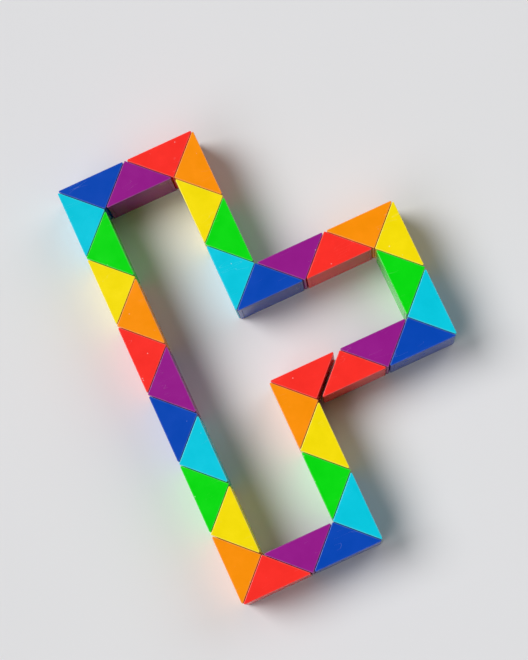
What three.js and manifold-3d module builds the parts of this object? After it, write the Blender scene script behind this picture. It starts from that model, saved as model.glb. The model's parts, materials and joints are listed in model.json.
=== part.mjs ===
// Twisty snake puzzle: a chain of hollow plastic wedges, each half of a cube cut along its diagonal.
// Every wedge turns on its neighbour about the middle of the square face that they share.
// The chain lies in one layer, folded into a closed T-shaped loop. Millimetres, +Z up, and the
// origin is under the middle of the loop, on the surface that it lies on.
//
// A wedge's own frame has the right-angled corner on its Z axis. The leg along X carries the
// threaded boss, and the leg along Y the hole that the next wedge's pivot screw passes through.

import * as THREE from 'three';
import { mergeVertices } from 'three/addons/utils/BufferGeometryUtils.js';
import Module from 'manifold-3d';

// The wedge. The side is the pitch of its square faces, and each face stands back from that pitch:
// by half the joint gap, by the end inset on a free end, or by the outer inset everywhere else.
const side = 17;
const jointGap = 0.3;
const endInset = 0.7;
const outerInset = 0.15;
const wall = 1.2;
const coverThickness = 1.2;
const cornerRadius = 0.3;
const tipRadius = 0.3;

// The pivot between two wedges: a self-tapping screw that pulls them together through a spring
const bossRadius = 2.3;
const bossToCover = 0.3;
const shankRadius = 0.9;
const pilotClearance = 0.3;
const holeClearance = 0.4;
const headRadius = 1.7;
const headHeight = 1;
const headToCover = 0.25;
const recessWidth = 0.4;
const recessLength = 1.8;
const recessDepth = 0.55;
const washerRadius = 2;
const washerThickness = 0.3;
const springRadius = 1.55;
const springWire = 0.35;
const springTurns = 2;
const seatGap = 0.15;
const shankToBossEnd = 0.3;

// The chain: joint n joins wedge n to wedge n + 1. A folded joint is half a turn from the straight
// line, and the others lie as they do when the whole chain is straight.
const wedgeCount = 36;
const foldedJoints = [1, 5, 8, 19, 22, 26, 30, 33];
const firstCornerSteps = -2;
const firstWedgeTurn = Math.PI / 4;

// The colours repeat along the chain, so the first wedge and the last are both red.
const colours = [
  { name: 'red', hex: 0xff2f26 },
  { name: 'orange', hex: 0xff9300 },
  { name: 'yellow', hex: 0xfae200 },
  { name: 'green', hex: 0x00de0a },
  { name: 'light blue', hex: 0x00cbe2 },
  { name: 'dark blue', hex: 0x0047b7 },
  { name: 'purple', hex: 0x97188b },
];
const steel = { name: 'steel', hex: 0xb9bcc0 };

// How round things are cut up
const arcSegments = 2;
const roundSegments = 12;
const screwSegments = 10;
const wireSegments = 5;
const stepsPerTurn = 10;
const mergeTolerance = 1e-4;

// Worked out from the sizes above
const halfDiagonal = side / Math.SQRT2;
const depth = side - 2 * outerInset;
const legInset = jointGap / 2;
const longFaceReach = side - outerInset * Math.SQRT2;
const cavityReach = longFaceReach - coverThickness * Math.SQRT2;
const cavityFloor = legInset + wall;
const middle = side / 2;
const headTop = cavityReach - middle - headRadius - headToCover;
const headSeat = headTop - headHeight;
const washerSeat = headSeat - seatGap - washerThickness;
const springTop = washerSeat - seatGap;
const springFoot = cavityFloor + seatGap;
const bossEnd = cavityReach - middle - bossRadius - bossToCover;
const outside = -side;

const wasm = await Module();
wasm.setup();

function solidOf(geometry) {
  const bare = geometry.clone();
  bare.deleteAttribute('normal');
  bare.deleteAttribute('uv');
  const merged = mergeVertices(bare, mergeTolerance);
  const mesh = new wasm.Mesh({
    numProp: 3,
    vertProperties: new Float32Array(merged.attributes.position.array),
    triVerts: new Uint32Array(merged.index.array),
  });
  return new wasm.Manifold(mesh);
}

function geometryOf(solid) {
  const mesh = solid.getMesh();
  const geometry = new THREE.BufferGeometry();
  geometry.setAttribute('position', new THREE.BufferAttribute(mesh.vertProperties, 3));
  geometry.setIndex(new THREE.BufferAttribute(mesh.triVerts, 1));
  geometry.computeVertexNormals();
  return geometry;
}

// A prism of an outline in the XY plane, centred on it.
function prism(outline, height) {
  const geometry = new THREE.ExtrudeGeometry(outline, {
    depth: height,
    bevelEnabled: false,
    curveSegments: arcSegments,
  });
  geometry.translate(0, 0, -height / 2);
  return solidOf(geometry);
}

// A round bar on the pivot axis of the boss: along Y, through the middle of the leg along X.
function bossBar(radius, from, to) {
  const geometry = new THREE.CylinderGeometry(radius, radius, to - from, roundSegments);
  geometry.translate(middle, (from + to) / 2, 0);
  return solidOf(geometry);
}

// A round bar on the pivot axis of the hole: along X, through the middle of the leg along Y.
function holeBar(radius, from, to) {
  const geometry = new THREE.CylinderGeometry(radius, radius, to - from, roundSegments);
  geometry.rotateZ(Math.PI / 2);
  geometry.translate((from + to) / 2, middle, 0);
  return solidOf(geometry);
}

// A triangle with a radius at each corner. Each arc touches both sides of its corner.
function roundedTriangle(corners) {
  const outline = new THREE.Shape();
  corners.forEach((corner, index) => {
    const before = corners[(index + corners.length - 1) % corners.length];
    const after = corners[(index + 1) % corners.length];
    const arriving = corner.at.clone().sub(before.at).normalize();
    const leaving = after.at.clone().sub(corner.at).normalize();
    const turn = Math.acos(arriving.dot(leaving));
    const inward = new THREE.Vector2(-arriving.y, arriving.x);
    const centre = corner.at.clone();
    centre.addScaledVector(arriving, -corner.radius * Math.tan(turn / 2));
    centre.addScaledVector(inward, corner.radius);
    const start = Math.atan2(-inward.y, -inward.x);
    outline.absarc(centre.x, centre.y, corner.radius, start, start + turn, false);
  });
  outline.closePath();
  return outline;
}

function outerOutline(bossInset, holeInset) {
  return roundedTriangle([
    { at: new THREE.Vector2(holeInset, bossInset), radius: cornerRadius },
    { at: new THREE.Vector2(longFaceReach - bossInset, bossInset), radius: tipRadius },
    { at: new THREE.Vector2(holeInset, longFaceReach - holeInset), radius: tipRadius },
  ]);
}

function cavityOutline(bossInset, holeInset) {
  const low = bossInset + wall;
  const left = holeInset + wall;
  return new THREE.Shape([
    new THREE.Vector2(left, low),
    new THREE.Vector2(cavityReach - low, low),
    new THREE.Vector2(left, cavityReach - left),
  ]);
}

// A wedge is a shell with its cover closed over the long face. A free end has no boss or no hole.
function wedgeGeometry(isFirst, isLast) {
  const bossInset = isFirst ? endInset : legInset;
  const holeInset = isLast ? endInset : legInset;
  let shell = prism(outerOutline(bossInset, holeInset), depth);
  shell = shell.subtract(prism(cavityOutline(bossInset, holeInset), depth - 2 * wall));
  if (!isFirst) {
    shell = shell.add(bossBar(bossRadius, legInset + wall / 2, bossEnd));
    shell = shell.subtract(bossBar(shankRadius + pilotClearance, outside, bossEnd + bossToCover));
  }
  if (!isLast) {
    shell = shell.subtract(holeBar(shankRadius + holeClearance, outside, springFoot));
  }
  return geometryOf(shell);
}

// The fasteners lie on the X axis, at their distance inside the wedge that holds the spring.
// The screw's head faces +X, and its shank runs out through the hole into the next wedge's boss.
// The head has a cross recess, and the shank a conical tip.
function screwGeometry() {
  const tip = -(bossEnd - shankToBossEnd);
  const profile = [
    new THREE.Vector2(0, tip),
    new THREE.Vector2(shankRadius, tip + shankRadius),
    new THREE.Vector2(shankRadius, headSeat),
    new THREE.Vector2(headRadius, headSeat),
    new THREE.Vector2(headRadius, headSeat + headHeight / 2),
    new THREE.Vector2(headRadius / 2, headTop),
    new THREE.Vector2(0, headTop),
  ];
  let screw = solidOf(new THREE.LatheGeometry(profile, screwSegments));
  const slots = [
    [recessLength, recessWidth],
    [recessWidth, recessLength],
  ];
  for (const [width, length] of slots) {
    const slot = new THREE.BoxGeometry(width, 2 * recessDepth, length);
    slot.translate(0, headTop, 0);
    screw = screw.subtract(solidOf(slot));
  }
  return geometryOf(screw).rotateZ(-Math.PI / 2);
}

function washerGeometry() {
  const bore = shankRadius + holeClearance;
  const profile = [
    new THREE.Vector2(bore, washerSeat),
    new THREE.Vector2(washerRadius, washerSeat),
    new THREE.Vector2(washerRadius, washerSeat + washerThickness),
    new THREE.Vector2(bore, washerSeat + washerThickness),
    new THREE.Vector2(bore, washerSeat),
  ];
  return new THREE.LatheGeometry(profile, screwSegments).rotateZ(-Math.PI / 2);
}

// The line that the spring's wire follows: a helix about X, from its foot on the wall to the washer.
class SpringLine extends THREE.Curve {
  getPoint(t, target = new THREE.Vector3()) {
    const angle = 2 * Math.PI * springTurns * t;
    const low = springFoot + springWire / 2;
    const high = springTop - springWire / 2;
    return target.set(
      low + (high - low) * t,
      springRadius * Math.cos(angle),
      springRadius * Math.sin(angle),
    );
  }
}

function springGeometry() {
  const section = new THREE.Shape();
  const corners = [];
  for (let index = 0; index < wireSegments; index += 1) {
    const angle = (2 * Math.PI * index) / wireSegments;
    const radius = springWire / 2;
    corners.push(new THREE.Vector2(radius * Math.cos(angle), radius * Math.sin(angle)));
  }
  section.setFromPoints(corners);
  return new THREE.ExtrudeGeometry(section, {
    steps: springTurns * stepsPerTurn,
    extrudePath: new SpringLine(),
    bevelEnabled: false,
  });
}

function plastic(colour) {
  return new THREE.MeshStandardMaterial({ color: colour.hex, roughness: 0.35, metalness: 0 });
}

function metal() {
  return new THREE.MeshStandardMaterial({ color: steel.hex, roughness: 0.3, metalness: 1 });
}

function named(name, geometry, material) {
  const mesh = new THREE.Mesh(geometry, material);
  mesh.name = name;
  return mesh;
}

function numbered(word, number) {
  return `${word}_${String(number).padStart(2, '0')}`;
}

function wedge(number) {
  const geometry = wedgeGeometry(number === 1, number === wedgeCount);
  const colour = colours[(number - 1) % colours.length];
  return named(numbered('wedge', number), geometry, plastic(colour));
}

// The pivot's own group has its X axis on the pivot axis, so turning it turns the next wedge.
function pivotOf(joint) {
  const pivot = new THREE.Group();
  const isFolded = foldedJoints.includes(joint);
  pivot.position.set(0, middle, 0);
  pivot.rotation.x = isFolded ? 0 : Math.PI;
  return pivot;
}

function nextWedgeFrame() {
  const frame = new THREE.Group();
  frame.position.set(0, -middle, 0);
  frame.rotation.z = Math.PI / 2;
  return frame;
}

// Each wedge is built inside the pivot of the one before it, as the real chain hangs together.
function snake() {
  const whole = new THREE.Group();
  let frame = new THREE.Group();
  frame.position.set(0, firstCornerSteps * halfDiagonal, depth / 2);
  frame.rotation.z = firstWedgeTurn;
  whole.add(frame);
  for (let number = 1; number <= wedgeCount; number += 1) {
    frame.add(wedge(number));
    if (number === wedgeCount) {
      break;
    }
    const pivot = pivotOf(number);
    frame.add(pivot);
    if (foldedJoints.includes(number)) {
      pivot.add(named(numbered('pivot_screw', number), screwGeometry(), metal()));
      pivot.add(named(numbered('pivot_washer', number), washerGeometry(), metal()));
      pivot.add(named(numbered('pivot_spring', number), springGeometry(), metal()));
    }
    frame = nextWedgeFrame();
    pivot.add(frame);
  }
  return whole;
}

export default snake();
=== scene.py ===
"""Twisty snake puzzle: moulded wedges, their covers and the swivel hardware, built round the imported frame.

Every wedge is worked out once in its own square corner: X runs along the leg that carries the boss,
Y along the leg with the pivot hole, Z through the wedge, and it is then turned into its place in the chain.
"""

import json
import math

import bpy
import numpy as np
from bpy.props import FloatProperty, FloatVectorProperty, IntProperty, PointerProperty
from mathutils import Matrix, Vector


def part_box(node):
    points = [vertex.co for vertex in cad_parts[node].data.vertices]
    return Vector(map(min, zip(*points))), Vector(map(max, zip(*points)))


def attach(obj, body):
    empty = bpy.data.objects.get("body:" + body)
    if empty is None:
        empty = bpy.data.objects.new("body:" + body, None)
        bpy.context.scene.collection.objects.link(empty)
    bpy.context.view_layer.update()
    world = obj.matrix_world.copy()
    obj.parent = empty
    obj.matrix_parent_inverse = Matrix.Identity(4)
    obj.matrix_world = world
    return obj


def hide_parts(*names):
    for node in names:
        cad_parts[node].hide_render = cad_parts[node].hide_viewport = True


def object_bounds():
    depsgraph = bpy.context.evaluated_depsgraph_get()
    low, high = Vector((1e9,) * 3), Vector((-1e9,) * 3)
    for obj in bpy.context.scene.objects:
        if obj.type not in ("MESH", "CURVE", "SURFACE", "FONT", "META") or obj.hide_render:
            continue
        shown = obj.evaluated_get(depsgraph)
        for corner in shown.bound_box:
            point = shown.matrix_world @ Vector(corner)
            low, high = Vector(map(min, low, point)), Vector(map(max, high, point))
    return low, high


bl_info = {
    "name": "Twisty snake puzzle",
    "version": (1, 0, 0),
    "blender": (4, 5, 0),
    "location": "3D View > Sidebar > Snake",
    "description": "Builds the wedges, covers and swivels of a twisty snake puzzle on its packed frame",
    "category": "Object",
}

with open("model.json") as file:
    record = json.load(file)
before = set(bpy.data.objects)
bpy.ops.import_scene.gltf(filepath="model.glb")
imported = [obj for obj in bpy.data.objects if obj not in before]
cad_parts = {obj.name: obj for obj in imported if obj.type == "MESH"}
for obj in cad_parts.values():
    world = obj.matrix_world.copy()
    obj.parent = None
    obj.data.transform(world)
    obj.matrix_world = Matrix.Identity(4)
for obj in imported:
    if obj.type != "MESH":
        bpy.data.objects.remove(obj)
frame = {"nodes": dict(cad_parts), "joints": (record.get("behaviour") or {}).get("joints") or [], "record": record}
CAD_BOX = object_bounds()

MM = 0.001
RUN_OF_COLOURS = ("red", "orange", "yellow", "green", "light_blue", "dark_blue", "purple")
RECORD_COLOURS = {m["slot"]: tuple(m["base_color"]) for m in frame["record"]["materials"]}
SWIVELS = sorted(frame["joints"], key=lambda joint: joint["name"])
CENTRES = np.array([joint["pos_m"] for joint in SWIVELS])
AXES = np.array([joint["axis"] for joint in SWIVELS], float)
WEDGES = len(SWIVELS) + 1
SIDE = math.sqrt(2) * float(np.linalg.norm(CENTRES[1] - CENTRES[0]))
DEPTH = float(CAD_BOX[1][2] - CAD_BOX[0][2])
KINDS = ("first", "middle", "last")
UP = np.array((0.0, 0.0, 1.0))


# ---------------------------------------------------------------- sizes and colours


def length(name, description, default):
    """A size in metres whose default is given in millimetres."""
    return FloatProperty(
        name=name, description=description, default=default * MM, min=0.0, unit="LENGTH", precision=5
    )


def colour(name, description, default):
    """A colour, red, green and blue from 0 to 1."""
    return FloatVectorProperty(
        name=name, description=description, default=default[:3], size=3, min=0.0, max=1.0, subtype="COLOR"
    )


def angle(name, description, default):
    """An angle whose default is given in degrees."""
    return FloatProperty(
        name=name, description=description, default=math.radians(default), subtype="ANGLE", unit="ROTATION"
    )


class SNAKE_PG_wedge(bpy.types.PropertyGroup):
    """Sizes of one moulded wedge and its cover."""

    leg_inset: length("Leg inset", "How far a leg face stands back from the swivel plane", 0.09)
    end_inset: length("End inset", "How far the two free faces stand back", 0.7)
    outer_inset: length("Outer inset", "How far the long face and the ends stand back", 0.15)
    wall: length("Wall", "Thickness of the moulded wall", 1.2)
    cover: length("Cover", "Thickness of the long face's cover", 1.2)
    seam: length("Seam", "Gap between the cover and the shell", 0.05)
    corner_radius: length("Corner radius", "Rounding of the square corner", 0.3)
    tip_radius: length("Tip radius", "Rounding of the two sharp tips", 0.36)
    edge_radius: length("Edge radius", "Rounding of the triangle's edges", 0.16)
    seam_radius: length("Seam radius", "Rounding of the edges along the cover's seam", 0.06)
    boss_radius: length("Boss radius", "Outside of the boss that takes the screw", 2.3)
    boss_end: length("Boss end", "How far the boss reaches in from the swivel plane", 3.991)
    pilot_radius: length("Pilot radius", "Bore of the boss", 0.95)
    hole_radius: length("Hole radius", "Bore of the pivot hole", 1.3)
    ring_radius: length("Ring radius", "Middle of the bearing ring round the boss bore", 3.2)
    ring_width: length("Ring width", "Flat of the bearing ring", 0.7)
    ring_height: length("Ring height", "How far the bearing ring stands up", 0.07)
    bump_circle: length("Bump circle", "Radius on which the four click bumps stand", 6.2)
    bump_radius: length("Bump radius", "Radius of a click bump", 0.6)
    bump_height: length("Bump height", "How far a click bump stands up", 0.07)


class SNAKE_PG_swivel(bpy.types.PropertyGroup):
    """Sizes of the screw, washer and spring in each swivel."""

    head_radius: length("Head radius", "Radius of the screw head", 1.7)
    head_height: length("Head height", "Height of the screw head", 1.0)
    head_seat: length("Head seat", "Underside of the head from the swivel plane", 3.641)
    shank_radius: length("Thread radius", "Outside of the thread", 0.9)
    root_radius: length("Root radius", "Root of the thread", 0.66)
    pitch: length("Pitch", "Distance from one thread to the next", 0.8)
    tip_reach: length("Tip reach", "How far the screw reaches into the boss", 3.69)
    recess_length: length("Recess length", "Length of the cross recess", 1.8)
    recess_width: length("Recess width", "Width of the cross recess", 0.4)
    recess_depth: length("Recess depth", "Depth of the cross recess", 0.55)
    washer_radius: length("Washer radius", "Outside of the washer", 2.0)
    washer_bore: length("Washer bore", "Radius of the washer's bore", 1.3)
    washer_thickness: length("Washer thickness", "Thickness of the washer", 0.3)
    washer_seat: length("Washer seat", "Underside of the washer from the swivel plane", 3.191)
    coil_radius: length("Coil radius", "Middle of the spring wire from the axis", 1.55)
    wire_radius: length("Wire radius", "Radius of the spring wire", 0.175)
    spring_foot: length("Spring foot", "Lowest wire from the swivel plane", 1.37)
    spring_top: length("Spring top", "Highest wire from the swivel plane", 3.16)
    turns: FloatProperty(name="Turns", description="Turns of the spring", default=3.25, min=1.0, max=6.0)


class SNAKE_PG_colours(bpy.types.PropertyGroup):
    """Colours of the wedges, the steel and the floor."""

    red: colour("Red", "Red wedges", RECORD_COLOURS["red"])
    orange: colour("Orange", "Orange wedges", RECORD_COLOURS["orange"])
    yellow: colour("Yellow", "Yellow wedges", RECORD_COLOURS["yellow"])
    green: colour("Green", "Green wedges", RECORD_COLOURS["green"])
    light_blue: colour("Light blue", "Light blue wedges", RECORD_COLOURS["light_blue"])
    dark_blue: colour("Dark blue", "Dark blue wedges", RECORD_COLOURS["dark_blue"])
    purple: colour("Purple", "Purple wedges", RECORD_COLOURS["purple"])
    steel: colour("Steel", "Plated screws, washers and springs", RECORD_COLOURS["steel"])
    floor: colour("Floor", "Floor the puzzle lies on", (0.72, 0.72, 0.73))


class SNAKE_PG_stage(bpy.types.PropertyGroup):
    """Where the camera stands and how bright the lights are."""

    azimuth: angle("Azimuth", "Turn of the camera round the puzzle", -4.58)
    elevation: angle("Elevation", "Height of the camera above the floor", 80.5)
    roll: angle("Roll", "Turn of the camera about its own line of sight", -20.22)
    target: FloatVectorProperty(
        name="Target",
        description="Point in the middle of the picture",
        default=(-6.21 * MM, 4.57 * MM, 8.5 * MM),
        subtype="TRANSLATION",
        unit="LENGTH",
    )
    distance: length("Distance", "From the target to the camera", 603.2)
    lens: FloatProperty(name="Lens", description="Focal length", default=129.2, unit="CAMERA")
    key: FloatProperty(name="Key light", description="Strength of the key light", default=2.75)
    fill: FloatProperty(name="Fill light", description="Strength of each fill light", default=0.75)
    softness: angle("Softness", "How wide each light looks from the puzzle", 38.0)
    room: FloatProperty(name="Room light", description="Brightness of the room", default=0.07)
    floor_size: length("Floor size", "Half width of the floor", 3000.0)
    floor_steps: IntProperty(name="Floor steps", description="Squares on each side of the floor", default=12)


class SNAKE_PG_puzzle(bpy.types.PropertyGroup):
    """Everything that can be changed on the puzzle."""

    wedge: PointerProperty(type=SNAKE_PG_wedge)
    swivel: PointerProperty(type=SNAKE_PG_swivel)
    colours: PointerProperty(type=SNAKE_PG_colours)
    stage: PointerProperty(type=SNAKE_PG_stage)


def puzzle():
    """The scene's own sizes and colours."""
    return bpy.context.scene.snake_puzzle


# ---------------------------------------------------------------- surfaces


def grid(points, closed=False):
    """Quads over a grid of points[u, v]: each joins (u, v), (u+1, v), (u+1, v+1) and (u, v+1).

    A closed grid also joins its last row of u to its first.
    """
    rows, columns = points.shape[:2]
    index = np.arange(rows * columns).reshape(rows, columns)
    after = np.roll(index, -1, axis=0) if closed else index[1:]
    here = index if closed else index[:-1]
    quads = np.stack((here[:, :-1], after[:, :-1], after[:, 1:], here[:, 1:]), axis=-1)
    return points.reshape(-1, 3), quads.reshape(-1, 4)


def flat(points):
    """One flat face round a loop of points."""
    return points, np.arange(len(points))[None, :]


def turned_over(patch):
    """The same faces seen from the other side."""
    return patch[0], patch[1][:, ::-1]


def weld(name, patches):
    """One mesh from several grids and flat faces, whose shared edges become one.

    Points are the same point when they agree to a tenth of a micron.
    """
    points = np.concatenate([patch[0] for patch in patches])
    starts = np.cumsum([0] + [len(patch[0]) for patch in patches])
    _, first, same = np.unique(np.round(points * 1e7), axis=0, return_index=True, return_inverse=True)
    same = same.reshape(-1)
    faces = []
    for start, patch in zip(starts, patches):
        faces += same[patch[1] + start].tolist()
    mesh = bpy.data.meshes.new(name)
    mesh.from_pydata(points[first].tolist(), [], faces)
    mesh.update()
    mesh.shade_smooth()
    return mesh


def arc(centre, radius, start, turn, steps):
    """Points of an arc: centre + radius (cos a, sin a), with a from start to start + turn."""
    a = np.linspace(start, start + turn, steps + 1)
    return np.array(centre) + radius * np.stack((np.cos(a), np.sin(a)), axis=-1)


def upright(outline, heights):
    """A flat outline carried up through the heights: (x, y) of the outline and each height in turn."""
    points = np.zeros((len(outline), len(heights), 3))
    points[..., :2] = outline[:, None, :]
    points[..., 2] = heights[None, :]
    return grid(points)


def levelled(outline, height):
    """A flat outline lifted to one height."""
    return np.column_stack((outline, np.full(len(outline), height)))


def rim_loop(along, heights):
    """The edge of an upright panel as (distance along, height) pairs, going round from the lowest corner."""
    sides = (
        np.column_stack((along[:-1], np.full(len(along) - 1, heights[0]))),
        np.column_stack((np.full(len(heights) - 1, along[-1]), heights[:-1])),
        np.column_stack((along[:0:-1], np.full(len(along) - 1, heights[-1]))),
        np.column_stack((np.full(len(heights) - 1, along[0]), heights[:0:-1])),
    )
    return np.concatenate(sides)


def pierced(outer_rim, outer_face, rings, inner_rim, inner_face, middle):
    """A panel with a round hole: a profile carried round the hole's axis.

    The first row is the outer rim, the last is the inner rim, and every row between is the circle
    (middle + r cos a, r sin a) at its own distance h from the swivel plane, for each (r, h) of the rings.
    Returned as (along, height, across) points on a grid closed round the hole.
    """
    count = len(outer_rim)
    a = np.linspace(0, 2 * math.pi, count, endpoint=False) - 0.75 * math.pi
    rows = [np.column_stack((outer_rim, np.full(count, outer_face)))]
    for r, h in rings:
        rows.append(np.column_stack((middle + r * np.cos(a), r * np.sin(a), np.full(count, h))))
    rows.append(np.column_stack((inner_rim, np.full(count, inner_face))))
    return np.stack(rows, axis=1)


def on_boss_leg(points):
    """(along, height, across) of a panel put on the X leg: x = along, y = across, z = height."""
    return points[..., (0, 2, 1)]


def on_hole_leg(points):
    """(along, height, across) of a panel put on the Y leg: x = across, y = along, z = height."""
    return points[..., (2, 0, 1)]


def wedge_limits(kind):
    """Where the faces of a wedge of this kind lie: outer and inner planes of both legs, and the long face."""
    size = puzzle().wedge
    x_leg = size.end_inset if kind == "first" else size.leg_inset
    y_leg = size.end_inset if kind == "last" else size.leg_inset
    return {
        "y0": x_leg,
        "x0": y_leg,
        "y1": x_leg + size.wall,
        "x1": y_leg + size.wall,
        "reach": SIDE - math.sqrt(2) * size.outer_inset,
        "half": DEPTH / 2,
        "inside": DEPTH / 2 - size.wall,
    }


def shell_patches(kind):
    """The moulded shell of one wedge, open on its long face.

    Outside, a triangular outline with rounded corners is carried up between the two triangles. Inside, the
    two legs' inner faces stand a wall further in. Each leg's outer and inner face is one grid carried round
    the axis of its bore, and the long face keeps a narrow frame round the opening.
    """
    size = puzzle().wedge
    lim = wedge_limits(kind)
    x0, y0, x1, y1, reach = lim["x0"], lim["y0"], lim["x1"], lim["y1"], lim["reach"]
    half, inside = lim["half"], lim["inside"]
    tip = size.tip_radius
    back = tip / math.tan(math.pi / 8)
    bend = size.corner_radius
    rows = np.concatenate(([-half], np.linspace(-inside, inside, 9), [half]))

    boss_tip_centre = (reach - y0 - back, y0 + tip)
    hole_tip_centre = (x0 + tip, reach - x0 - back)
    boss_tip = arc(boss_tip_centre, tip, -math.pi / 2, 0.75 * math.pi, 6)
    hole_tip = arc(hole_tip_centre, tip, math.pi / 4, 0.75 * math.pi, 6)
    corner = arc((x0 + bend, y0 + bend), bend, math.pi, math.pi / 2, 4)
    rim_a = np.array([[reach - y1, y1]])
    rim_b = np.array([[x1, reach - x1]])
    boss_side = np.concatenate((boss_tip, rim_a))
    hole_side = np.concatenate((rim_b, hole_tip))
    patches = [upright(boss_side, rows), upright(hole_side, rows), upright(corner, rows)]

    boss_along = np.linspace(corner[-1, 0], boss_tip[0, 0], 7)
    hole_along = np.linspace(corner[0, 1], hole_tip[-1, 1], 7)
    boss_in = np.linspace(x1, reach - y1, 9)
    hole_in = np.linspace(y1, reach - x1, 9)
    levels = rows[1:-1]

    if kind == "first":
        patches.append(flat(on_boss_leg(with_across(rim_loop(boss_along, rows), y0))))
        patches.append(turned_over(flat(on_boss_leg(with_across(rim_loop(boss_in, levels), y1)))))
    else:
        flat_half = size.ring_width / 2
        slope = 2 * size.ring_height
        rings = (
            (size.ring_radius + flat_half + slope, y0),
            (size.ring_radius + flat_half, y0 - size.ring_height),
            (size.ring_radius - flat_half, y0 - size.ring_height),
            (size.ring_radius - flat_half - slope, y0),
            (size.pilot_radius, y0),
            (size.pilot_radius, size.boss_end),
            (size.boss_radius, size.boss_end),
            (size.boss_radius, y1),
        )
        wall = pierced(rim_loop(boss_along, rows), y0, rings, rim_loop(boss_in, levels), y1, SIDE / 2)
        patches.append(grid(on_boss_leg(wall), closed=True))
        patches += click_bumps(y0)
    if kind == "last":
        patches.append(turned_over(flat(on_hole_leg(with_across(rim_loop(hole_along, rows), x0)))))
        patches.append(flat(on_hole_leg(with_across(rim_loop(hole_in, levels), x1))))
    else:
        rings = ((size.hole_radius, x0), (size.hole_radius, x1))
        wall = pierced(rim_loop(hole_along, rows), x0, rings, rim_loop(hole_in, levels), x1, SIDE / 2)
        patches.append(turned_over(grid(on_hole_leg(wall), closed=True)))

    outline = np.concatenate(
        (
            hole_side[:-1],
            np.column_stack((np.full(7, x0), hole_along[::-1])),
            corner[1:-1],
            np.column_stack((boss_along, np.full(7, y0))),
            boss_side[1:],
        )
    )
    cavity = np.concatenate(
        (
            np.column_stack((np.full(9, x1), hole_in[::-1])),
            np.column_stack((boss_in[1:], np.full(8, y1))),
        )
    )
    opening = np.concatenate((rim_a, rim_b))
    patches.append(flat(levelled(outline, half)))
    patches.append(turned_over(flat(levelled(outline, -half))))
    patches.append(turned_over(flat(levelled(cavity, inside))))
    patches.append(flat(levelled(cavity, -inside)))
    patches.append(upright(opening, np.array([inside, half])))
    patches.append(upright(opening, np.array([-half, -inside])))
    return patches


def with_across(rim, across):
    """A rim's (along, height) pairs with their distance from the swivel plane added."""
    return np.column_stack((rim, np.full(len(rim), across)))


def click_bumps(face):
    """Four shallow domes on the boss leg.

    Each is a flattened ball, R sin t out from its middle and h cos t up, with its middle sunk a little into
    the wall and its two poles cut off flat.
    """
    size = puzzle().wedge
    places = math.pi / 2 * np.arange(4) + math.pi / 4
    a = np.linspace(0, 2 * math.pi, 12, endpoint=False)
    pole = 0.08
    t = np.linspace(pole, math.pi - pole, 7)
    sink = 0.12 * MM
    radius = size.bump_radius * np.sin(t)
    height = (size.bump_height + sink) * np.cos(t)
    dome = np.zeros((4, 12, 7, 3))
    dome[..., 0] = (size.bump_circle * np.cos(places))[:, None, None] + radius * np.cos(a)[:, None] + SIDE / 2
    dome[..., 1] = (size.bump_circle * np.sin(places))[:, None, None] + radius * np.sin(a)[:, None]
    dome[..., 2] = face + sink - height
    dome = on_boss_leg(dome)
    patches = []
    for bump in dome:
        patches += [turned_over(grid(bump, closed=True)), flat(bump[:, 0]), turned_over(flat(bump[:, -1]))]
    return patches


def cover_patches(kind):
    """The cover of the long face: a trapezoid section carried up between two flat ends.

    Its outer side is the opening less the seam, and its slanted ends follow the legs' inner faces.
    """
    size = puzzle().wedge
    lim = wedge_limits(kind)
    x, y, reach = lim["x1"] + size.seam, lim["y1"] + size.seam, lim["reach"]
    deep = math.sqrt(2) * size.cover
    top = lim["inside"] - size.seam
    section = np.array([(reach - y, y), (x, reach - x), (x, reach - x - deep), (reach - y - deep, y)])
    heights = np.linspace(-top, top, 3)
    points = np.zeros((4, 3, 3))
    points[..., :2] = section[:, None, :]
    points[..., 2] = heights[None, :]
    sides = grid(points, closed=True)
    return [sides, flat(levelled(section, top)), turned_over(flat(levelled(section, -top)))]


# ---------------------------------------------------------------- finishing a wedge


def points_of(mesh):
    """The mesh's points as rows of x, y and z."""
    co = np.zeros(len(mesh.vertices) * 3)
    mesh.vertices.foreach_get("co", co)
    return co.reshape(-1, 3)


def edge_ends(mesh):
    """The two end points of every edge, as an array of edge by end by coordinate."""
    pairs = np.zeros(len(mesh.edges) * 2, np.int32)
    mesh.edges.foreach_get("vertices", pairs)
    return points_of(mesh)[pairs.reshape(-1, 2)]


def lies_at(values, place):
    """Which edges have both ends at a place, to a tenth of a micron."""
    return (np.abs(values - place) < 1e-7).all(axis=1)


def weigh_edges(mesh, kind, part):
    """Says how far each edge is rounded, as a share of the largest rounding."""
    size = puzzle().wedge
    lim = wedge_limits(kind)
    x, y, z = np.moveaxis(edge_ends(mesh), -1, 0)
    height = np.abs(z)
    seam_share = size.seam_radius / size.edge_radius
    hole_share = 0.5
    weight = np.zeros(len(x))
    on_long_face = lies_at(x + y, lim["reach"])
    if part == "cover":
        weight[on_long_face] = seam_share
    else:
        weight[lies_at(height, lim["half"])] = 1.0
        inner = (height < lim["inside"] + 1e-7).all(axis=1)
        rim = lies_at(y, lim["y1"]) | lies_at(x, lim["x1"]) | lies_at(height, lim["inside"])
        weight[on_long_face & inner & rim] = seam_share
        at_hole = lies_at(x, lim["x0"]) & lies_at(np.hypot(y - SIDE / 2, z), size.hole_radius)
        weight[at_hole] = hole_share
    attribute = mesh.attributes.new("bevel_weight_edge", "FLOAT", "EDGE")
    attribute.data.foreach_set("value", weight.astype(np.float32))


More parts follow.
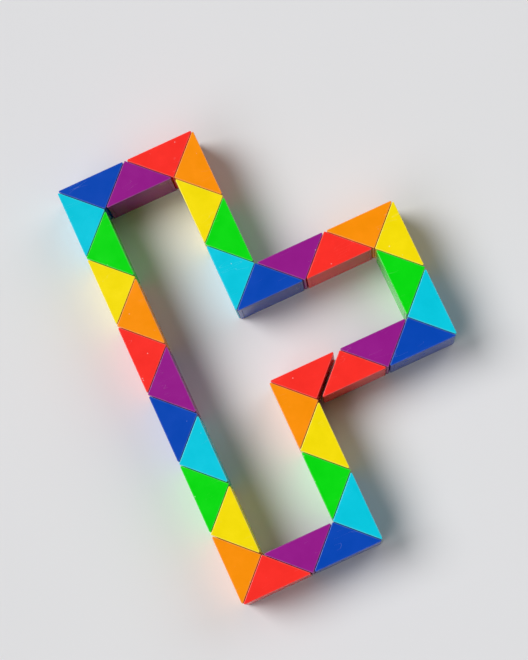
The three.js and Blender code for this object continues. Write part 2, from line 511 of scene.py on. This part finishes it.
def mark_gaps(mesh, kind):
    """Stores each point's distance from the boss leg, the hole leg and the long face as "edge_gaps"."""
    lim = wedge_limits(kind)
    x, y, _ = points_of(mesh).T
    gaps = np.column_stack((y - lim["y0"], x - lim["x0"], (lim["reach"] - x - y) / math.sqrt(2)))
    attribute = mesh.attributes.new("edge_gaps", "FLOAT_VECTOR", "POINT")
    attribute.data.foreach_set("vector", gaps.ravel().astype(np.float32))


def rounded(mesh, kind, part):
    """The mesh with its weighed edges rounded and its flat faces kept flat."""
    weigh_edges(mesh, kind, part)
    mesh.set_sharp_from_angle(angle=math.radians(32))
    worker = bpy.data.objects.new(mesh.name, mesh)
    bpy.context.scene.collection.objects.link(worker)
    bevel = worker.modifiers.new("Rounded edges", "BEVEL")
    bevel.limit_method = "WEIGHT"
    bevel.width = puzzle().wedge.edge_radius
    bevel.segments = 3
    bevel.use_clamp_overlap = False
    bevel.miter_outer = "MITER_SHARP"
    normals = worker.modifiers.new("Flat faces", "WEIGHTED_NORMAL")
    normals.keep_sharp = True
    normals.weight = 50
    graph = bpy.context.evaluated_depsgraph_get()
    finished = bpy.data.meshes.new_from_object(
        worker.evaluated_get(graph), preserve_all_data_layers=True, depsgraph=graph
    )
    bpy.data.objects.remove(worker)
    mark_gaps(finished, kind)
    return finished


def kind_of(number):
    """Which of the three mouldings a wedge is."""
    first, middle, last = KINDS
    return {1: first, WEDGES: last}.get(number, middle)


def toward(axis, direction):
    """The axis, turned to point the same way as the direction."""
    return axis if float(np.dot(axis, direction)) > 0 else -axis


def middle_of(number):
    """The middle of the box round a CAD wedge."""
    return np.mean(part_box(f"wedge_{number:02d}"), axis=0)


def placed(x, y, z, origin):
    """The matrix that puts a piece's own axes along x, y and z with its origin at the origin."""
    turn = np.eye(4)
    turn[:3] = np.column_stack((x, y, z, origin))
    return Matrix(turn.tolist())


def wedge_place(number):
    """The turn and shift that put the wedge's own square corner where the frame has it.

    The X leg lies on the swivel before it and the Y leg on the swivel after it, so each swivel's axis is the
    other leg's direction. The corner is half a side back along a leg from the swivel on it. A free leg has
    no swivel, and the leg beside it runs from the wedge's middle towards its own swivel.
    """
    centre = middle_of(number)
    before = number - 2
    after = number - 1
    if number == 1:
        x = toward(AXES[after], centre - CENTRES[after])
        y = toward(np.cross(UP, x), CENTRES[after] - centre)
    elif number == WEDGES:
        y = toward(AXES[before], centre - CENTRES[before])
        x = toward(np.cross(y, UP), CENTRES[before] - centre)
    else:
        x = toward(AXES[after], CENTRES[before] - CENTRES[after])
        y = toward(AXES[before], CENTRES[after] - CENTRES[before])
    if number == WEDGES:
        corner = CENTRES[before] - x * SIDE / 2
    else:
        corner = CENTRES[after] - y * SIDE / 2
    return placed(x, y, np.cross(x, y), corner)


def add_piece(name, mesh, body, material):
    """Puts a finished mesh in the scene, riding on its body and taking the material it is given."""
    mesh.name = name
    mesh.materials.clear()
    mesh.materials.append(material)
    piece = bpy.data.objects.new(name, mesh)
    bpy.context.scene.collection.objects.link(piece)
    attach(piece, body)
    return piece


def colour_of(number):
    """The colour that a wedge has in the run of seven."""
    return RUN_OF_COLOURS[(number - 1) % len(RUN_OF_COLOURS)]


# ---------------------------------------------------------------- screws, washers and springs


def swivel_place(number):
    """The turn and shift of a swivel: Z runs from its plane into the wedge before it."""
    centre = CENTRES[number - 1]
    z = toward(AXES[number - 1], middle_of(number) - centre)
    return placed(np.cross(UP, z), UP, z, centre)


def screw_mesh(name):
    """A pan head screw: a profile turned about the axis, with a thread and a cross recess.

    The head is r cos a, r sin a with a domed top and a rounded edge. Its recess sinks the top by d where the
    point lies within half a width of either arm. Along the shank r = root + (outside - root) t, where t is a
    sawtooth of z / pitch - a / turn, so the crest climbs one pitch for every turn. The point is a cone.
    """
    size = puzzle().swivel
    count = 40
    a = np.linspace(0, 2 * math.pi, count, endpoint=False)
    seat, head, height = size.head_seat, size.head_radius, size.head_height

    def ring(r, z):
        """A flat ring of points."""
        return np.column_stack((r * np.cos(a), r * np.sin(a), np.full(count, z)))

    dome = 0.25
    dome_end = 0.80
    bend = 0.18 * head
    rows = []
    for r in np.linspace(0.03, dome_end, 12) * head:
        row = ring(r, seat + height)
        row[:, 2] -= dome * height * (r / head) ** 2
        across = np.minimum(np.abs(row[:, 0]), np.abs(row[:, 1]))
        out = np.maximum(np.abs(row[:, 0]), np.abs(row[:, 1]))
        in_width = np.clip((size.recess_width / 2 + 0.05 * MM - across) / (0.1 * MM), 0, 1)
        in_length = np.clip((size.recess_length / 2 - out) / (0.25 * MM), 0, 1)
        row[:, 2] -= size.recess_depth * in_width * in_length
        rows.append(row)
    for t in np.linspace(0, math.pi / 2, 6):
        z = seat + height * (1 - dome * dome_end**2) - bend + bend * math.cos(t)
        rows.append(ring(head - bend + bend * math.sin(t), z))
    rows.append(ring(head, seat))
    rows.append(ring(size.root_radius, seat))
    neck = 0.12 * MM
    threaded = seat + size.tip_reach - size.root_radius * 1.6
    steps = int(round(threaded / size.pitch * 7))
    z = seat - neck - np.linspace(0, 1, steps) * (threaded - neck)
    turn = (z[:, None] / size.pitch - a[None, :] / (2 * math.pi)) % 1.0
    crest = np.clip(1 - np.abs(turn - 0.5) / 0.32, 0, 1)
    fade = np.clip(np.minimum(seat - z, z - z[-1]) / (0.5 * MM), 0, 1)[:, None]
    r = size.root_radius + (size.shank_radius - size.root_radius) * crest * fade
    shank = np.stack((r * np.cos(a), r * np.sin(a), np.repeat(z[:, None], count, axis=1)), axis=-1)
    rows += list(shank)
    rows.append(ring(size.root_radius * 0.35, -size.tip_reach + 0.1 * MM))
    rows.append(ring(0.05 * MM, -size.tip_reach))
    body = np.stack(rows, axis=1)
    ends = [flat(body[:, 0]), turned_over(flat(body[:, -1]))]
    return weld(name, [turned_over(grid(body, closed=True))] + ends)


def washer_mesh(name):
    """A flat washer: a small rounded rectangle carried round the axis.

    The section is (|cos t|^p sign, |sin t|^p sign), a squared circle with p = 0.3, half as wide as the
    washer's rim and half as high as it is thick.
    """
    size = puzzle().swivel
    a = np.linspace(0, 2 * math.pi, 48, endpoint=False)
    t = np.linspace(0, 2 * math.pi, 17)
    t[-1] = 0
    middle = (size.washer_radius + size.washer_bore) / 2
    half = (size.washer_radius - size.washer_bore) / 2
    square = 0.3
    across = np.sign(np.cos(t)) * np.abs(np.cos(t)) ** square * half
    high = np.sign(np.sin(t)) * np.abs(np.sin(t)) ** square * size.washer_thickness / 2
    high[np.abs(np.sin(t)) < 1e-9] = 0
    across[np.abs(np.cos(t)) < 1e-9] = 0
    r = middle + across
    points = np.stack(
        (
            r * np.cos(a)[:, None],
            r * np.sin(a)[:, None],
            np.repeat((size.washer_seat + size.washer_thickness / 2 + high)[None], 48, axis=0),
        ),
        axis=-1,
    )
    return weld(name, [grid(points, closed=True)])


def spring_mesh(name):
    """A coil spring: a circle of wire carried along a helix whose end turns lie flat.

    The path is R cos w, R sin w with a height that rises by a smooth step from the foot to the top, and the
    wire's circle lies across the path. Both cut ends are closed.
    """
    size = puzzle().swivel
    count = int(round(size.turns * 20))
    t = np.linspace(0, 1, count)
    w = 2 * math.pi * size.turns * t
    low = size.spring_foot + size.wire_radius
    high = size.spring_top - size.wire_radius
    flat_share = 0.16
    lazy = 0.14
    s = np.clip((t - flat_share) / (1 - 2 * flat_share), 0, 1)
    rise = lazy * t + (1 - lazy) * (s - 0.06 * np.sin(2 * math.pi * s))
    height = low + (high - low) * rise / rise[-1]
    path = np.column_stack((size.coil_radius * np.cos(w), size.coil_radius * np.sin(w), height))
    along = np.gradient(path, axis=0)
    along /= np.linalg.norm(along, axis=1)[:, None]
    out = np.column_stack((np.cos(w), np.sin(w), np.zeros(count)))
    up = np.cross(along, out)
    b = np.linspace(0, 2 * math.pi, 10, endpoint=False)
    wire = out[:, None] * np.cos(b)[None, :, None] + up[:, None] * np.sin(b)[None, :, None]
    tube = path[:, None] + size.wire_radius * wire
    body = grid(tube.transpose(1, 0, 2), closed=True)
    return weld(name, [body, turned_over(flat(tube[0])), flat(tube[-1])])


# ---------------------------------------------------------------- shared effects


def group_tree(name, inputs, outputs):
    """A new shader node group with named sockets, or None when it is already there."""
    if name in bpy.data.node_groups:
        return None
    tree = bpy.data.node_groups.new(name, "ShaderNodeTree")
    for title, kind, value in inputs:
        socket = tree.interface.new_socket(name=title, in_out="INPUT", socket_type=kind)
        if value is not None:
            socket.default_value = value
    for title, kind in outputs:
        tree.interface.new_socket(name=title, in_out="OUTPUT", socket_type=kind)
    return tree


def add_node(tree, kind, at, settings=None, values=None):
    """Adds a node at a place in the tree, with its settings and the values of its sockets."""
    node = tree.nodes.new(kind)
    node.location = at
    for key, value in (settings or {}).items():
        setattr(node, key, value)
    for key, value in (values or {}).items():
        node.inputs[key].default_value = value
    return node


def sums(tree, operation, at, first, second=None, third=None, clamp=False):
    """A Math node fed by sockets or plain numbers; gives its result."""
    node = add_node(tree, "ShaderNodeMath", at, {"operation": operation, "use_clamp": clamp})
    for place, value in enumerate((first, second, third)):
        if value is None:
            continue
        if isinstance(value, (int, float)):
            node.inputs[place].default_value = value
        else:
            tree.links.new(value, node.inputs[place])
    return node.outputs[0]


def noise(tree, at, place, values):
    """Noise over a place, with the values of its sockets; gives its strength."""
    node = add_node(tree, "ShaderNodeTexNoise", at, None, values)
    tree.links.new(place, node.inputs["Vector"])
    return node.outputs[0]


def edge_wear_and_highlight_group():
    """Group: how near a point is to an edge of its wedge, as a mask that fades over a width.

    The nearest edge is as far off as the second smallest of the distances to the two legs, the long face and
    the ends, because the smallest is the face that the point lies on.
    """
    # This mask paints a pale band along every edge: partly rubbed wear, partly a painted highlight.
    name = "Rubbed edges"
    inputs = (
        ("Gaps", "NodeSocketVector", None),
        ("Position", "NodeSocketVector", None),
        ("Width", "NodeSocketFloat", 0.0004),
        ("Breakup", "NodeSocketFloat", 0.5),
    )
    tree = group_tree(name, inputs, (("Rub", "NodeSocketFloat"),))
    if tree is None:
        return bpy.data.node_groups[name]
    start = add_node(tree, "NodeGroupInput", (-1200, 0))
    gaps = add_node(tree, "ShaderNodeSeparateXYZ", (-1000, 120))
    place = add_node(tree, "ShaderNodeSeparateXYZ", (-1000, -120))
    tree.links.new(start.outputs["Gaps"], gaps.inputs[0])
    tree.links.new(start.outputs["Position"], place.inputs[0])
    from_middle = sums(tree, "SUBTRACT", (-820, -120), place.outputs[2], DEPTH / 2)
    height = sums(tree, "ABSOLUTE", (-660, -120), from_middle)
    end = sums(tree, "SUBTRACT", (-500, -120), DEPTH / 2, height)
    low_a = sums(tree, "MINIMUM", (-660, 260), gaps.outputs[0], gaps.outputs[1])
    high_a = sums(tree, "MAXIMUM", (-660, 120), gaps.outputs[0], gaps.outputs[1])
    low_b = sums(tree, "MINIMUM", (-340, -60), gaps.outputs[2], end)
    high_b = sums(tree, "MAXIMUM", (-340, -220), gaps.outputs[2], end)
    larger_low = sums(tree, "MAXIMUM", (-160, 200), low_a, low_b)
    smaller_high = sums(tree, "MINIMUM", (-160, 0), high_a, high_b)
    second = sums(tree, "MINIMUM", (20, 100), larger_low, smaller_high)
    rough = noise(tree, (-500, -420), start.outputs["Position"], {"Scale": 700.0, "Detail": 3.0})
    ratio = sums(tree, "DIVIDE", (200, 100), second, start.outputs["Width"])
    near = sums(tree, "SUBTRACT", (360, 100), 1.0, ratio, clamp=True)
    broken = sums(tree, "MULTIPLY", (200, -200), rough, start.outputs["Breakup"])
    kept = sums(tree, "SUBTRACT", (520, 0), near, broken, clamp=True)
    end_node = add_node(tree, "NodeGroupOutput", (700, 0))
    tree.links.new(kept, end_node.inputs["Rub"])
    return tree


def moulded_skin():
    """Group: the fine grain and slow waviness of a moulded face, and a mottle of the plastic's colour."""
    name = "Moulded skin"
    inputs = (
        ("Position", "NodeSocketVector", None),
        ("Grain", "NodeSocketFloat", 1.0),
        ("Wave", "NodeSocketFloat", 1.0),
    )
    tree = group_tree(name, inputs, (("Height", "NodeSocketFloat"), ("Mottle", "NodeSocketFloat")))
    if tree is None:
        return bpy.data.node_groups[name]
    start = add_node(tree, "NodeGroupInput", (-700, 0))
    place = start.outputs["Position"]
    fine = noise(tree, (-460, 240), place, {"Scale": 5200.0, "Detail": 2.0})
    wave = noise(tree, (-460, 0), place, {"Scale": 95.0, "Detail": 1.0})
    cloud = noise(tree, (-460, -240), place, {"Scale": 160.0, "Detail": 4.0, "Roughness": 0.6})
    grain = sums(tree, "MULTIPLY", (-240, 240), fine, start.outputs["Grain"])
    slow = sums(tree, "MULTIPLY", (-240, 0), wave, start.outputs["Wave"])
    height = sums(tree, "ADD", (-60, 120), grain, slow)
    end = add_node(tree, "NodeGroupOutput", (140, 0))
    tree.links.new(height, end.inputs["Height"])
    tree.links.new(cloud, end.inputs["Mottle"])
    return tree


def dust_and_scuffs():
    """Group: sparse specks of dust, and hairline scuffs along the contour of a stretched noise."""
    name = "Dust and scuffs"
    inputs = (
        ("Position", "NodeSocketVector", None),
        ("Dust", "NodeSocketFloat", 0.5),
        ("Scuffs", "NodeSocketFloat", 0.5),
    )
    tree = group_tree(name, inputs, (("Specks", "NodeSocketFloat"), ("Lines", "NodeSocketFloat")))
    if tree is None:
        return bpy.data.node_groups[name]
    start = add_node(tree, "NodeGroupInput", (-1000, 0))
    sizes = {"Scale": 420.0, "Randomness": 1.0}
    cells = add_node(tree, "ShaderNodeTexVoronoi", (-760, 240), {"feature": "F1"}, sizes)
    tree.links.new(start.outputs["Position"], cells.inputs["Vector"])
    few = add_node(tree, "ShaderNodeSeparateColor", (-560, 120))
    tree.links.new(cells.outputs["Color"], few.inputs[0])
    small = sums(tree, "LESS_THAN", (-560, 320), cells.outputs["Distance"], 0.075)
    chosen = sums(tree, "LESS_THAN", (-380, 120), few.outputs[0], 0.16)
    specks = sums(tree, "MULTIPLY", (-200, 240), small, chosen)
    specks = sums(tree, "MULTIPLY", (-40, 240), specks, start.outputs["Dust"])
    stretch = add_node(tree, "ShaderNodeMapping", (-760, -200))
    stretch.inputs["Rotation"].default_value = (0.3, 0.2, 0.7)
    stretch.inputs["Scale"].default_value = (60.0, 460.0, 200.0)
    tree.links.new(start.outputs["Position"], stretch.inputs["Vector"])
    hair = noise(tree, (-560, -200), stretch.outputs[0], {"Scale": 1.0, "Detail": 1.0})
    off = sums(tree, "SUBTRACT", (-380, -200), hair, 0.5)
    away = sums(tree, "ABSOLUTE", (-220, -200), off)
    line = sums(tree, "LESS_THAN", (-60, -200), away, 0.003)
    patchy = noise(tree, (-560, -460), start.outputs["Position"], {"Scale": 130.0, "Detail": 2.0})
    where = sums(tree, "GREATER_THAN", (-380, -460), patchy, 0.58)
    lines = sums(tree, "MULTIPLY", (100, -260), line, where)
    lines = sums(tree, "MULTIPLY", (260, -260), lines, start.outputs["Scuffs"])
    end = add_node(tree, "NodeGroupOutput", (440, 0))
    tree.links.new(specks, end.inputs["Specks"])
    tree.links.new(lines, end.inputs["Lines"])
    return tree


def add_group(tree, group, at, values=None):
    """Places a shared group in a material with this material's own values."""
    return add_node(tree, "ShaderNodeGroup", at, {"node_tree": group}, values)


def mixed(tree, at, factor, first, second):
    """A colour mix of two sockets or plain colours by a factor; gives its result."""
    node = add_node(tree, "ShaderNodeMix", at, {"data_type": "RGBA"})
    for socket, value in ((node.inputs[0], factor), (node.inputs[6], first), (node.inputs[7], second)):
        if isinstance(value, bpy.types.NodeSocket):
            tree.links.new(value, socket)
        else:
            socket.default_value = value
    return node.outputs[2]


def shaded(tint, share):
    """A colour made lighter or darker by a share, with its alpha."""
    return tuple(min(1.0, c * share) for c in tint[:3]) + (1.0,)


# ---------------------------------------------------------------- materials


def blank_material(title):
    """A new material with an empty node tree."""
    material = bpy.data.materials.new(title)
    material.use_nodes = True
    material.node_tree.nodes.clear()
    return material


def put_out(tree, shader, at):
    """Joins a shader to a material's output."""
    out = add_node(tree, "ShaderNodeOutputMaterial", at)
    tree.links.new(shader.outputs[0], out.inputs[0])


def follow_place(tree, where, groups):
    """Gives each group the point's place in the object."""
    for node in groups:
        tree.links.new(where.outputs["Object"], node.inputs["Position"])


def plastic(name, tint):
    """Satin moulded plastic: mottled colour, pale edges that are partly rubbed wear and partly a painted
    highlight, specks of dust, hairline scuffs and fine grain.
    """
    title = f"{name} plastic"
    if title in bpy.data.materials:
        return bpy.data.materials[title]
    material = blank_material(title)
    material.diffuse_color = tuple(tint) + (1.0,)
    tree = material.node_tree
    where = add_node(tree, "ShaderNodeTexCoord", (-1300, 0))
    gaps = add_node(tree, "ShaderNodeAttribute", (-1300, 300), {"attribute_name": "edge_gaps"})
    skin = add_group(tree, moulded_skin(), (-1000, 0), {"Grain": 0.35, "Wave": 3.0})
    edge_wear_and_highlight = add_group(tree, edge_wear_and_highlight_group(), (-1000, 300), {"Width": 0.00045, "Breakup": 0.55})
    marks = add_group(tree, dust_and_scuffs(), (-1000, -300), {"Dust": 0.35, "Scuffs": 0.25})
    follow_place(tree, where, (skin, edge_wear_and_highlight, marks))
    tree.links.new(gaps.outputs["Vector"], edge_wear_and_highlight.inputs["Gaps"])
    spread = add_node(tree, "ShaderNodeMapRange", (-760, 60), None, {"From Min": 0.3, "From Max": 0.7})
    tree.links.new(skin.outputs["Mottle"], spread.inputs["Value"])
    base = mixed(tree, (-540, 100), spread.outputs[0], shaded(tint, 0.93), shaded(tint, 1.0))
    pale = tuple(0.75 * c + 0.25 for c in tint[:3]) + (1.0,)
    # Pale edge band at half strength: partly rubbed wear, partly a painted highlight along the edges.
    edge_share = sums(tree, "MULTIPLY", (-700, 320), edge_wear_and_highlight.outputs["Rub"], 0.5)
    worn_and_highlit = mixed(tree, (-340, 160), edge_share, base, pale)
    scuffed = mixed(tree, (-140, 160), marks.outputs["Lines"], worn_and_highlit, pale)
    dusty = mixed(tree, (60, 160), marks.outputs["Specks"], scuffed, (0.8, 0.79, 0.76, 1.0))
    sheen = {"From Min": 0.3, "From Max": 0.7, "To Min": 0.19, "To Max": 0.27}
    rough = add_node(tree, "ShaderNodeMapRange", (-340, -120), None, sheen)
    tree.links.new(skin.outputs["Mottle"], rough.inputs["Value"])
    rough_dusty = sums(tree, "ADD", (-140, -120), rough.outputs[0], marks.outputs["Specks"], clamp=True)
    bump = add_node(tree, "ShaderNodeBump", (60, -320), None, {"Strength": 0.35, "Distance": 0.00002})
    tree.links.new(skin.outputs["Height"], bump.inputs["Height"])
    gloss = {"IOR": 1.5, "Specular IOR Level": 0.35}
    shader = add_node(tree, "ShaderNodeBsdfPrincipled", (320, 100), None, gloss)
    tree.links.new(dusty, shader.inputs["Base Color"])
    tree.links.new(rough_dusty, shader.inputs["Roughness"])
    tree.links.new(bump.outputs[0], shader.inputs["Normal"])
    put_out(tree, shader, (620, 100))
    return material


def plated_steel():
    """Zinc plated steel: a faint grain in its colour and roughness, with specks of dust."""
    title = "Plated steel"
    if title in bpy.data.materials:
        return bpy.data.materials[title]
    tint = puzzle().colours.steel
    material = blank_material(title)
    tree = material.node_tree
    where = add_node(tree, "ShaderNodeTexCoord", (-1000, 0))
    skin = add_group(tree, moulded_skin(), (-760, 100), {"Grain": 1.0, "Wave": 0.5})
    marks = add_group(tree, dust_and_scuffs(), (-760, -150), {"Dust": 0.2, "Scuffs": 0.5})
    follow_place(tree, where, (skin, marks))
    base = mixed(tree, (-500, 100), skin.outputs["Mottle"], shaded(tint, 0.75), shaded(tint, 1.15))
    marked = mixed(tree, (-300, 100), marks.outputs["Lines"], base, shaded(tint, 0.55))
    rough = add_node(tree, "ShaderNodeMapRange", (-500, -150), None, {"To Min": 0.22, "To Max": 0.42})
    tree.links.new(skin.outputs["Mottle"], rough.inputs["Value"])
    bump = add_node(tree, "ShaderNodeBump", (-300, -320), None, {"Strength": 0.3, "Distance": 0.00001})
    tree.links.new(skin.outputs["Height"], bump.inputs["Height"])
    shader = add_node(tree, "ShaderNodeBsdfPrincipled", (0, 100), None, {"Metallic": 1.0})
    tree.links.new(marked, shader.inputs["Base Color"])
    tree.links.new(rough.outputs[0], shader.inputs["Roughness"])
    tree.links.new(bump.outputs[0], shader.inputs["Normal"])
    put_out(tree, shader, (300, 100))
    return material


def floor_paper():
    """Matt pale paper for the floor, with a hardly visible change of shade."""
    material = blank_material("Floor paper")
    tree = material.node_tree
    tint = puzzle().colours.floor
    where = add_node(tree, "ShaderNodeTexCoord", (-700, 0))
    cloud = noise(tree, (-500, 0), where.outputs["Object"], {"Scale": 6.0, "Detail": 3.0})
    base = mixed(tree, (-300, 0), cloud, shaded(tint, 0.98), shaded(tint, 1.02))
    shader = add_node(
        tree, "ShaderNodeBsdfPrincipled", (0, 0), None, {"Roughness": 0.9, "Specular IOR Level": 0.1}
    )
    tree.links.new(base, shader.inputs["Base Color"])
    put_out(tree, shader, (300, 0))
    return material


# ---------------------------------------------------------------- operators


def wedge_pieces(part, patches):
    """Makes one piece for each kind of wedge and copies it along the chain; gives the copies in order."""
    made = {kind: rounded(weld(f"{kind}_{part}", patches(kind)), kind, part) for kind in KINDS}
    pieces = []
    for number in range(1, WEDGES + 1):
        mesh = made[kind_of(number)].copy()
        mesh.transform(wedge_place(number))
        slot = colour_of(number)
        material = plastic(slot.replace("_", " ").capitalize(), getattr(puzzle().colours, slot))
        pieces.append(add_piece(f"wedge_{number:02d}_{part}", mesh, f"segment_{number:02d}", material))
    return pieces


class SNAKE_OT_shells(bpy.types.Operator):
    """Builds the moulded shell of every wedge in its place"""

    bl_idname = "snake.shells"
    bl_label = "Wedge shells"

    def execute(self, context):
        """Each shell stands in for the CAD's wedge."""
        for number, piece in enumerate(wedge_pieces("shell", shell_patches), 1):
            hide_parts(f"wedge_{number:02d}")
        return {"FINISHED"}


class SNAKE_OT_covers(bpy.types.Operator):
    """Builds the cover on the long face of every wedge"""

    bl_idname = "snake.covers"
    bl_label = "Wedge covers"

    def execute(self, context):
        """Each cover lies in its shell's opening."""
        wedge_pieces("cover", cover_patches)
        return {"FINISHED"}


def add_hardware(word, mesh, ahead):
    """Copies one piece of hardware to every swivel, riding on the wedge after it or the wedge before it."""
    mesh.set_sharp_from_angle(angle=math.radians(40))
    for number in range(1, WEDGES):
        copy = mesh.copy()
        copy.transform(swivel_place(number))
        body = f"segment_{number + ahead:02d}"
        piece = add_piece(f"swivel_{number:02d}_{word}", copy, body, plated_steel())
        node = f"pivot_{word}_{number:02d}"
        if node in frame["nodes"]:
            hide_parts(node)


class SNAKE_OT_screws(bpy.types.Operator):
    """Builds the screw of every swivel"""

    bl_idname = "snake.screws"
    bl_label = "Swivel screws"

    def execute(self, context):
        """The screw turns with the wedge after it, whose boss holds its thread."""
        add_hardware("screw", screw_mesh("screw"), 1)
        return {"FINISHED"}


class SNAKE_OT_washers(bpy.types.Operator):
    """Builds the washer under every screw head"""

    bl_idname = "snake.washers"
    bl_label = "Swivel washers"

    def execute(self, context):
        """The washer turns with its screw."""
        add_hardware("washer", washer_mesh("washer"), 1)
        return {"FINISHED"}


class SNAKE_OT_springs(bpy.types.Operator):
    """Builds the spring that pulls every swivel together"""

    bl_idname = "snake.springs"
    bl_label = "Swivel springs"

    def execute(self, context):
        """The spring stands on the inside of the wedge before it."""
        add_hardware("spring", spring_mesh("spring"), 0)
        return {"FINISHED"}


def add_light(name, direction, strength, softness):
    """A wide soft light that shines on the puzzle from a direction, as a large panel far away does."""
    data = bpy.data.lights.new(name, "SUN")
    data.energy = strength
    data.angle = softness
    light = bpy.data.objects.new(name, data)
    light.rotation_euler = Vector(direction).to_track_quat("Z", "Y").to_euler()
    bpy.context.scene.collection.objects.link(light)


def add_room(brightness):
    """A pale room: seen plainly by the camera, and dimmer as a light."""
    world = bpy.data.worlds.new("Pale room")
    bpy.context.scene.world = world
    world.use_nodes = True
    tree = world.node_tree
    tree.nodes.clear()
    path = add_node(tree, "ShaderNodeLightPath", (-400, 200))
    seen = add_node(tree, "ShaderNodeBackground", (-200, 0), None, {"Color": (0.9, 0.9, 0.91, 1.0)})
    light = {"Color": (0.9, 0.93, 1.0, 1.0), "Strength": brightness}
    lit = add_node(tree, "ShaderNodeBackground", (-200, -150), None, light)
    mix = add_node(tree, "ShaderNodeMixShader", (0, 0))
    out = add_node(tree, "ShaderNodeOutputWorld", (200, 0))
    tree.links.new(path.outputs["Is Camera Ray"], mix.inputs[0])
    tree.links.new(lit.outputs[0], mix.inputs[1])
    tree.links.new(seen.outputs[0], mix.inputs[2])
    tree.links.new(mix.outputs[0], out.inputs[0])


def add_camera(stage):
    """The camera: it looks at the target from its azimuth and elevation, rolled about its line of sight."""
    az, el, roll = stage.azimuth, stage.elevation, stage.roll
    back = Vector((math.sin(az) * math.cos(el), -math.cos(az) * math.cos(el), math.sin(el)))
    right = (-back).cross(Vector((0, 0, 1))).normalized()
    up = right.cross(-back)
    x = math.cos(roll) * right + math.sin(roll) * up
    y = math.cos(roll) * up - math.sin(roll) * right
    place = Vector(stage.target) + back * stage.distance
    data = bpy.data.cameras.new("Camera")
    data.sensor_fit = "HORIZONTAL"
    data.sensor_width = 36.0
    data.lens = stage.lens
    data.clip_start = 0.01
    data.clip_end = 20.0
    camera = bpy.data.objects.new("Camera", data)
    turn = Matrix((x, y, back)).transposed().to_4x4()
    camera.matrix_world = Matrix.Translation(place) @ turn
    bpy.context.scene.collection.objects.link(camera)
    bpy.context.scene.camera = camera


class SNAKE_OT_stage(bpy.types.Operator):
    """Builds the floor, the lights, the room and the camera"""

    bl_idname = "snake.stage"
    bl_label = "Stage"

    def execute(self, context):
        """The floor is a level grid at the height that the puzzle lies on."""
        stage = puzzle().stage
        ruler = np.linspace(-stage.floor_size, stage.floor_size, stage.floor_steps + 1)
        points = np.zeros((len(ruler), len(ruler), 3))
        points[..., 0] = ruler[:, None]
        points[..., 1] = ruler[None, :]
        points[..., 2] = CAD_BOX[0][2] - 0.02 * MM
        mesh = weld("floor", [grid(points)])
        mesh.materials.append(floor_paper())
        floor = bpy.data.objects.new("floor", mesh)
        context.scene.collection.objects.link(floor)
        add_room(stage.room)
        add_camera(stage)
        add_light("Key light", (-0.55, 0.40, 0.75), stage.key, stage.softness)
        add_light("Right fill", (0.80, 0.30, 0.60), stage.fill, stage.softness)
        add_light("Left fill", (-0.70, -0.30, 0.70), stage.fill, stage.softness)
        context.scene.view_settings.view_transform = "Standard"
        return {"FINISHED"}


class SNAKE_PT_panel(bpy.types.Panel):
    """Lists the puzzle's pieces and its sizes"""

    bl_idname = "SNAKE_PT_panel"
    bl_label = "Twisty snake puzzle"
    bl_space_type = "VIEW_3D"
    bl_region_type = "UI"
    bl_category = "Snake"

    def draw(self, context):
        """The buttons first, then every size and colour."""
        layout = self.layout
        for operator in OPERATORS:
            layout.operator(operator.bl_idname)
        settings = context.scene.snake_puzzle
        for title in ("wedge", "swivel", "colours", "stage"):
            box = layout.box()
            box.label(text=title.capitalize())
            group = getattr(settings, title)
            for name in group.__annotations__:
                box.prop(group, name)


OPERATORS = (
    SNAKE_OT_shells,
    SNAKE_OT_covers,
    SNAKE_OT_screws,
    SNAKE_OT_washers,
    SNAKE_OT_springs,
    SNAKE_OT_stage,
)
CLASSES = (
    SNAKE_PG_wedge,
    SNAKE_PG_swivel,
    SNAKE_PG_colours,
    SNAKE_PG_stage,
    SNAKE_PG_puzzle,
) + OPERATORS + (SNAKE_PT_panel,)


def register():
    """Adds the classes and the puzzle's settings."""
    for item in CLASSES:
        bpy.utils.register_class(item)
    bpy.types.Scene.snake_puzzle = PointerProperty(type=SNAKE_PG_puzzle)


def unregister():
    """Takes them away again."""
    del bpy.types.Scene.snake_puzzle
    for item in reversed(CLASSES):
        bpy.utils.unregister_class(item)


def main():
    """Registers the add-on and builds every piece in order."""
    register()
    for step in ("shells", "covers", "screws", "washers", "springs", "stage"):
        getattr(bpy.ops.snake, step)()


if __name__ == "__main__":
    main()
